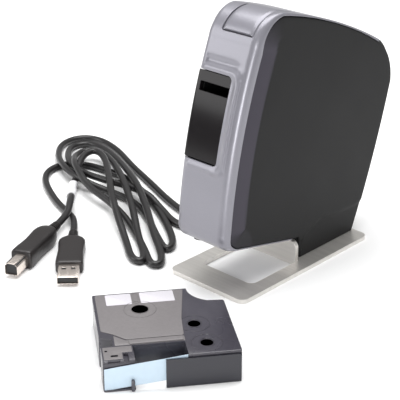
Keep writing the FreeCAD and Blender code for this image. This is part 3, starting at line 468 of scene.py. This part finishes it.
def arc(a, b, c, step):
    """Points along the circle from a through b to c, without c itself."""
    (ax, ay), (bx, by), (cx, cy) = a, b, c
    sa, sb, sc = ax * ax + ay * ay, bx * bx + by * by, cx * cx + cy * cy
    d = 2 * (ax * (by - cy) + bx * (cy - ay) + cx * (ay - by))
    ux = (sa * (by - cy) + sb * (cy - ay) + sc * (ay - by)) / d
    uy = (sa * (cx - bx) + sb * (ax - cx) + sc * (bx - ax)) / d
    radius = math.hypot(ax - ux, ay - uy)
    start, middle, end = (math.atan2(q - uy, p - ux) for p, q in (a, b, c))
    sweep = (end - start) % math.tau
    if (middle - start) % math.tau > sweep:
        sweep -= math.tau
    count = max(2, round(abs(sweep) * radius / step))
    return [(ux + radius * math.cos(start + sweep * i / count),
             uy + radius * math.sin(start + sweep * i / count)) for i in range(count)]


def run(a, b, step):
    """Points along a straight run from a to b, without b itself."""
    count = max(1, round(math.dist(a, b) / step))
    return [(a[0] + (b[0] - a[0]) * i / count, a[1] + (b[1] - a[1]) * i / count)
            for i in range(count)]


def normals(path, closed=False):
    """Unit vectors to the right of the way the path runs."""
    points = np.array(path)
    if closed:
        way = np.roll(points, -1, 0) - np.roll(points, 1, 0)
    else:
        way = np.gradient(points, axis=0)
    way /= np.linalg.norm(way, axis=1)[:, None]
    return np.stack([way[:, 1], -way[:, 0]], 1)


panel_front = (arc((1.7, 26.7), (-4.1, 29.6), (-6.2, 35.7), 1.0)
               + arc((-6.2, 35.7), (-9.1, 76.7), (-4.6, 134.0), 1.0)
               + arc((-4.6, 134.0), (-1.5, 146.5), (7.7, 152.9), 1.0))
panel_top = arc((7.7, 152.9), (60.9, 149.0), (103.0, 138.4), 1.0)
panel_back = (arc((103.0, 138.4), (113.6, 129.3), (118.9, 117.0), 1.0)
              + arc((118.9, 117.0), (116.5, 77.9), (108.8, 24.1), 1.0))
panel_base = (run((108.8, 24.1), (60.5, 13.4), 1.0) + run((60.5, 13.4), (54.9, 26.7), 1.0)
              + run((54.9, 26.7), (1.7, 26.7), 1.0))
panel_edge = np.array(panel_front + panel_top + panel_back + panel_base)

band_path = (run((48.9, 25.5), (-4.5, 25.5), 1.0)
             + arc((-4.5, 25.5), (-10.3, 28.4), (-12.4, 34.5), 0.8)
             + arc((-12.4, 34.5), (-15.3, 75.5), (-10.8, 136.0), 0.8)
             + arc((-10.8, 136.0), (-5.5, 148.5), (7.7, 154.9), 0.7)
             + [p for p in arc((7.7, 154.9), (54.7, 151.0), (103.0, 140.4), 1.0) if p[0] < 99.8])


def moulding(x, y, z):
    """Height of the front's relief: a rounded ridge round the window and a hollow over it."""
    if y > -4.0 or z < 55 or z > 137:
        return 0.0
    corner = 6.0
    across = max(x - (12.0 - corner), 0.0)
    upward = max(abs(z - 94.2) - (26.6 - corner), 0.0)
    apart = (math.hypot(across, upward)
             + min(max(x - 12.0 + corner, abs(z - 94.2) - 26.6 + corner), 0.0))
    apart -= corner
    side = min(1.0, max(0.0, (x - 3.0) / 7.0))
    ridge = (0.7 + 0.8 * side) * math.exp(-(apart / (1.6 + 0.7 * side)) ** 2)
    hollow = 1.15 * math.exp(-((z - 124.6) / 2.0) ** 2) / (1 + math.exp((x - 8.5) / 1.2))
    return ridge - hollow


def wrapped(point, inward, width, left, right, lip, thick, height, radii=None):
    """Section of a wrapped skin: outer face, rounded rims, lips and inner face."""
    rim = min(4.5, max(0.7, width - 0.3))
    round_left, round_right = radii or (rim, rim)
    section = []
    for k in range(7):
        turn = math.pi / 2 * k / 6
        section.append((left + round_left * (1 - math.cos(turn)),
                        round_left * (1 - math.sin(turn))))
    for k in range(1, 44):
        x = left + round_left + (right - left - round_left - round_right) * k / 44
        section.append((x, -height(x)))
    for k in range(7):
        turn = math.pi / 2 * k / 6
        section.append((right - round_right * (1 - math.sin(turn)),
                        round_right * (1 - math.cos(turn))))
    section += [(right, width - 0.2), (right - 0.2, width), (right - lip, width),
                (right - lip, thick), (left + lip, thick), (left + lip, width),
                (left + 0.2, width), (left, width - 0.2)]
    return [leaned(x, point[0] + inward[0] * depth, point[1] + inward[1] * depth)
            for x, depth in section]


band_inward = normals(band_path)
band_rings = []
for (y, z), inward in zip(band_path, band_inward):
    width = float(np.min(np.hypot(panel_edge[:, 0] - y, panel_edge[:, 1] - z))) - 0.35
    band_rings.append(wrapped((y, z), inward, max(width, 0.9), -18.0, 18.0, 2.0, 2.0,
                                lambda x: moulding(x, y, z)))
band = loft("front_shell", band_rings)


def tool_block(name, x0, x1, y0, y1, z0, z1, corner):
    """Cutting block in the machine's axes, its four edges along y rounded."""
    ring = []
    for cx, cz, first in ((x1, z1, 0), (x0, z1, 1), (x0, z0, 2), (x1, z0, 3)):
        ox = cx - corner if cx == x1 else cx + corner
        oz = cz - corner if cz == z1 else cz + corner
        for k in range(7):
            turn = math.pi / 2 * (first + k / 6)
            ring.append((ox + corner * math.cos(turn), oz + corner * math.sin(turn)))
    return loft(name, [[leaned(x, y, z) for x, z in ring] for y in (y0, y1)])


silver_paint = surface("silver_paint", tone(137, 136, 144), 0.36, metal=0.4, grain=2600,
                       fleck=0.05, bump=0.05, spread=0.04, coat=0.2, soften=0.0005)
cut(band, tool_block("window", -30.0, 7.0, -30.0, -6.5, 70.5, 119.0, 2.5),
    tool_block("button", -8.3, 13.8, -30.0, 22.6, 140.8, 170.0, 1.2))
settle(band, silver_paint, "case", "silver_paint", "front_band")


# ---------------------------------------------------------------- label window
# Piano-black polycarbonate insert that turns the left corner; the label leaves by the
# slot across its upper part. Its polished face mirrors the room.
pane_path = [p for p in band_path if 70.8 < p[1] < 118.8 and p[0] < 0]
pane_rings = [wrapped((point[0] + inward[0] * 0.75, point[1] + inward[1] * 0.75), inward, 5.0,
                      -17.75, 6.8, 1.6, 1.9, lambda x: 0.0, (1.9, 0.5))
              for point, inward in zip(pane_path, normals(pane_path))]
pane = loft("window_pane", pane_rings)
cut(pane, tool_block("slot", -14.2, 9.0, -30.0, -6.0, 107.6, 112.7, 0.8))
gloss_plastic = surface("black_gloss", tone(20, 17, 19), 0.14, grain=300, fleck=0.1,
                        bump=0.01, spread=0.03, soften=0.0004, shine=0.25)
settle(pane, gloss_plastic, "case", "black_gloss", "exit_bezel")


# ---------------------------------------------------------------- release button
# Silver-painted cap over the top front corner; pressing it frees the door. It
# stands slightly proud, with pillowed faces and softened edges.
button_path = [p for p in band_path if p[1] > 141.1 and p[0] < 21.6]
button_inward = normals(button_path)
button_rings = []
for i, (point, inward) in enumerate(zip(button_path, button_inward)):
    along = 2 * i / (len(button_path) - 1) - 1
    swell = 0.5 * (1 - abs(along) ** 8)

    def cap_height(x, swell=swell, along=along):
        across = (x - 2.75) / 10.75
        return swell * (1 - abs(across) ** 6) - 0.9 * max(0.0, abs(along) - 0.96) / 0.04

    button_rings.append(wrapped(point, inward, 1.6, -7.9, 13.4, 1.2, 2.2, cap_height))
button = loft("button_cap", button_rings)
settle(button, silver_paint, "button", "silver_paint", "release_button")


# ---------------------------------------------------------------- right side cover
# Matt near-black moulded side with a broad bevel facing forward, a soft crease
# above the foot and a rounded edge set into the silver band. The bevel carries a
# painted sheen: a lighter grey painted where the front light catches it.
cover_front = np.array(panel_front)
cover_crease = np.array([(50.0, 21.0), (57.5, 24.6), (72.3, 36.4), (86.7, 37.8),
                         (99.8, 40.1), (106.8, 41.3), (116.6, 46.5)])


def cover_face(y, z):
    """How far the cover's face lies below its flat middle, and how much painted sheen lies on
    its bevel.
    """
    apart = np.hypot(cover_front[:, 0] - y, cover_front[:, 1] - z)
    near = int(apart.argmin())
    place = cover_front[near]
    fade = 1.0
    if place[1] > 134:
        fade = max(0.0, 1 - (place[1] - 134) / 19)
    if place[1] < 36:
        fade = max(0.2, 1 - (36 - place[1]) / 12)
    drop = 1.75 * max(0.0, 1 - float(apart[near]) / 10.8) * fade
    if y > 50:
        low = float(np.interp(y, cover_crease[:, 0], cover_crease[:, 1])) - z
        drop += 0.6 * min(1.0, max(0.0, low / 1.6))
    return drop, fade * min(1.0, max(0.0, (11.4 - float(apart[near])) / 1.2))


cover_inward = normals(panel_edge, closed=True)
cover_middle = np.array((55.0, 85.0))
cover_rings = []
cover_bevel_sheen = []
inner_edge = panel_edge + cover_inward * 0.9
spots = [(16.0, panel_edge)]
spots += [(x, panel_edge + cover_inward * inset)
          for inset, x in ((0.0, 17.35), (0.12, 17.72), (0.4, 17.92), (0.9, 18.0))]
spots += [(18.0, inner_edge + (cover_middle - inner_edge) * (0.018 * k + 0.000045 * k * k))
          for k in range(1, 44)]
for x, path in spots:
    faces = [cover_face(*p) for p in path]
    cover_rings.append([leaned(max(16.02, x - drop) if x > 16 else x, *p)
                        for p, (drop, bevel) in zip(path, faces)])
    cover_bevel_sheen += [bevel for drop, bevel in faces]
cover = loft("side_cover", cover_rings)
# The bevel weight marks where a painted sheen lightens the forward bevel; the plastic there is
# the same near-black.
bevel_sheen_zone = cover.data.attributes.new("bevel", "FLOAT", "POINT")
bevel_sheen_zone.data.foreach_set("value", cover_bevel_sheen)
# tone(62, 59, 68) is the painted sheen on the bevel, a painted highlight and not a lighter
# plastic.
cover_plastic = surface("black_shell_side", tone(15, 15, 16), 0.5, grain=1500,
                        fleck=0.08, bump=0.22, spread=0.05, soften=0.0004, shine=0.25,
                        zone=(tone(62, 59, 68), "bevel"))
settle(cover, cover_plastic, "case", "black_shell", "right_cover", angle=25)


# ---------------------------------------------------------------- cassette door
# Hinged cover on the other side, in the same matt near-black plastic; it turns on a
# steel pin near the rear and opens the tape bay.
dress(cover_plastic, "cassette_door")


# ---------------------------------------------------------------- cassette case
# Two injection-moulded polystyrene halves in smoky grey, snapped together along a
# fine seam; the front is open at the print head's mouth and where the tape leaves.
def laid(x, y, z):
    """Point in the cassette's own axes, in mm, to its place on the table, in metres."""
    turn = math.radians(52.9)
    return Vector(((x - 67) * math.cos(turn) - y * math.sin(turn) + 76.2,
                   (x - 67) * math.sin(turn) + y * math.cos(turn) - 111.4, z)) / 1000


def rounded(corners, radius):
    """Plan with each corner cut round; the corners run anticlockwise."""
    path = []
    for i, corner in enumerate(corners):
        here = np.array(corner, float)
        before = np.array(corners[i - 1], float) - here
        after = np.array(corners[(i + 1) % len(corners)], float) - here
        reach = min(radius, 0.45 * np.linalg.norm(before), 0.45 * np.linalg.norm(after))
        start = here + before / np.linalg.norm(before) * reach
        end = here + after / np.linalg.norm(after) * reach
        for t in (0.0, 0.25, 0.5, 0.75, 1.0):
            path.append(tuple((1 - t) ** 2 * start + 2 * t * (1 - t) * here + t * t * end))
    return path


def prism(name, plan, levels):
    """Upright piece on a plan, drawn in and raised by each pair of levels."""
    inward = -normals(plan, closed=True)
    return loft(name, [[laid(x + u * inset, y + v * inset, z)
                        for (x, y), (u, v) in zip(plan, inward)] for inset, z in levels])


def box_tool(x0, x1, y0, y1, z0, z1):
    return prism("tool", [(x0, y0), (x1, y0), (x1, y1), (x0, y1)], ((0, z0), (0, z1)))


def round_tool(place, radius, z0=-5.0, z1=30.0):
    plan = [(place[0] + radius * math.cos(math.tau * k / 48),
             place[1] + radius * math.sin(math.tau * k / 48)) for k in range(48)]
    return prism("tool", plan, ((0, z0), (0, z1)))


hubs = ((23.0, 46.0, 3.8), (48.0, 28.0, 3.2), (51.3, 9.4, 3.2))
scoop = arc((58.5, 50.8), (52.5, 55.5), (49.5, 65.0), 1.2)
case_plan = rounded([(0, 0), (67, 0), (67, 50)] + scoop + [(49.5, 65), (0, 65)], 1.2)
notch_plan = [(-3, 12.6), (6.2, 13.4), (6.2, 19.5), (-3, 24.6)]


def openings():
    """Mouth, left notch and axle holes, shared by both halves."""
    tools = [box_tool(15.4, 41.0, -3.0, 12.5, -5.0, 30.0),
             prism("tool", notch_plan, ((0, -5.0), (0, 30.0)))]
    return tools + [round_tool(hub[:2], hub[2]) for hub in hubs]


smoke = surface("case_smoke", tone(62, 60, 68), 0.28, grain=500, fleck=0.1, bump=0.08,
                coat=0.25, soften=0.0003)
room = prism("room", case_plan, ((1.2, 1.2), (1.2, 20.0)))
cut(room, box_tool(14.2, 42.2, -3.0, 13.7, -5.0, 30.0),
    box_tool(-3.0, 7.4, 11.6, 25.8, -5.0, 30.0))
lower = prism("cassette_lower", case_plan,
              ((0.6, 0.0), (0.15, 0.12), (0.0, 0.5), (0.0, 15.4), (0.25, 15.6), (0.25, 15.8)))
cut(lower, *openings(), room, box_tool(-1.0, 16.4, -1.0, 1.15, 1.0, 15.5))
settle(lower, smoke, "cassette", "case_smoke", "cassette_case")
upper = prism("cassette_upper", case_plan,
              ((0.25, 15.84), (0.25, 15.95), (0.0, 16.1), (0.0, 16.8),
               (0.15, 17.08), (0.55, 17.2)))
cut(upper, *openings(), box_tool(2.6, 8.4, -1.0, 0.9, 0.0, 30.0),
    box_tool(10.2, 12.6, -1.0, 6.2, 0.0, 30.0),
    box_tool(4.2, 7.6, 3.4, 5.0, 0.0, 30.0), round_tool((2.3, 8.9), 0.7))
settle(upper, smoke, "cassette", "case_smoke", "cassette_lid")


# ---------------------------------------------------------------- lid relief
# Frosted, paler fields of the same lid: a raised plateau under the labels, a bare
# nameplate bar behind the mouth, and rings moulded round the three axle holes.
frosted = surface("case_frosted", tone(116, 112, 113), 0.42, grain=700, fleck=0.08, bump=0.15,
                  coat=0.1, soften=0.0003)
plateau = prism("lid_plateau", rounded([(1.4, 27.5), (6.8, 24.0), (13.0, 18.0), (41.4, 18.0),
                                        (42.6, 34.0), (47.6, 63.6), (1.4, 63.6)], 1.2),
                ((0, 17.1), (0, 17.4), (0.1, 17.5), (0.35, 17.55)))
cut(plateau, round_tool(hubs[0][:2], 4.4))
front_field = prism("lid_front_field",
                    rounded([(7.0, 13.2), (41.4, 13.2), (41.4, 17.6), (12.6, 17.6),
                                                (7.2, 22.6)], 0.5),
                    ((0, 17.1), (0, 17.3), (0.2, 17.38)))
ear_field = prism("lid_ear_field", rounded([(0.8, 1.2), (9.8, 1.2), (9.8, 7.0), (14.8, 7.0),
                                            (14.8, 12.4), (0.8, 12.4)], 0.5),
                  ((0, 17.1), (0, 17.25), (0.2, 17.32)))
cut(ear_field, box_tool(4.2, 7.6, 3.4, 5.0, 0.0, 30.0), round_tool((2.3, 8.9), 0.7))
nameplate = prism("lid_nameplate",
                  rounded([(14.0, 13.3), (40.8, 13.3), (40.8, 17.0), (14.0, 17.0)], 0.8),
                  ((0, 17.3), (0, 17.75), (0.15, 17.88), (0.4, 17.92)))
for part in (plateau, front_field, ear_field, nameplate):
    settle(part, frosted, "cassette", "case_smoke")
for number, (x, y, hole) in enumerate(hubs):
    floor_z = 17.5 if number == 0 else 17.15
    for reach, width, rise in ((hole + 4.6, 0.35, 0.22), (hole + 0.75, 0.3, 0.3)):
        rings = []
        for inset, z in ((0, floor_z), (0, floor_z + rise * 0.6), (0.1, floor_z + rise)):
            rings.append([laid(x + (reach - inset) * math.cos(a),
                               y + (reach - inset) * math.sin(a), z)
                          for a in np.linspace(0, math.tau, 64, endpoint=False)])
        for inset, z in ((0.1, floor_z + rise), (0, floor_z)):
            rings.append([laid(x + (reach - width + inset) * math.cos(a),
                               y + (reach - width + inset) * math.sin(a), z)
                          for a in np.linspace(0, math.tau, 64, endpoint=False)])
        settle(loft("axle_ring", rings), frosted if number == 0 else smoke,
               "cassette", "case_smoke")


# ---------------------------------------------------------------- cassette labels
# Two small coated-paper labels stuck either side of a moulded finger slot; bare of print.
label_paper = surface("label_paper", tone(206, 203, 209), 0.6, grain=900, fleck=0.03, bump=0.08)
left_label = prism("left_label",
                   rounded([(6.6, 52.0), (19.8, 52.0), (19.8, 63.0), (6.6, 63.0)], 0.8),
                   ((0, 17.5), (0, 17.62), (0.08, 17.66)))
right_label = prism("right_label",
                    rounded([(24.4, 52.2), (42.0, 52.2), (42.0, 63.2), (24.4, 63.2)], 0.8),
                    ((0, 17.5), (0, 17.62), (0.08, 17.66)))
settle(left_label, label_paper, "cassette", "label_paper", "cassette_labels")
settle(right_label, label_paper, "cassette", "label_paper")
slot_rim = prism("slot_rim",
                 rounded([(20.5, 52.4), (23.7, 52.4), (23.7, 62.8), (20.5, 62.8)], 1.5),
                 ((0, 17.5), (0, 17.68), (0.12, 17.76), (0.4, 17.76), (0.5, 17.5)))
settle(slot_rim, frosted, "cassette", "case_smoke")


# ---------------------------------------------------------------- tape and its guard
# White laminated tape that hangs a little low at its free end, behind a pin, and
# a glossy near-black guard over the right half of the tape side.
tape_white = surface("tape_white", tone(188, 206, 220), 0.3, grain=400, fleck=0.03, bump=0.03)
tape_rings = []
for x in np.linspace(0.5, 40.8, 24):
    low = 0.5 + 0.11 * x
    front = 0.42 + 0.12 * math.sin(x * 0.16)
    tape_rings.append([laid(x, y, z) for y, z in ((front, low), (front, low + 12.0),
                                                  (front + 0.16, low + 12.0),
                                                  (front + 0.16, low))])
tape = loft("tape_end", tape_rings)
settle(tape, tape_white, "cassette", "tape_white", "tape_strip")
pin = prism("tape_pin", rounded([(13.2, -1.6), (14.9, -1.6), (14.9, 0.2), (13.2, 0.2)], 0.6),
            ((0.3, 0.0), (0.0, 0.3), (0.0, 5.6), (0.35, 6.1)))
settle(pin, smoke, "cassette", "case_smoke")
guard_plastic = surface("guard_dark", tone(26, 26, 36), 0.22, grain=700, fleck=0.1,
                        bump=0.06, coat=0.3, soften=0.0003)
ribbon_film = surface("ribbon_black", tone(30, 28, 30), 0.3, grain=900, fleck=0.1, bump=0.05)
dress(guard_plastic, "tape_guard")
dress(tape_white, "tape_spool")
dress(ribbon_film, "ribbon_feed_spool", "ribbon_take_spool")
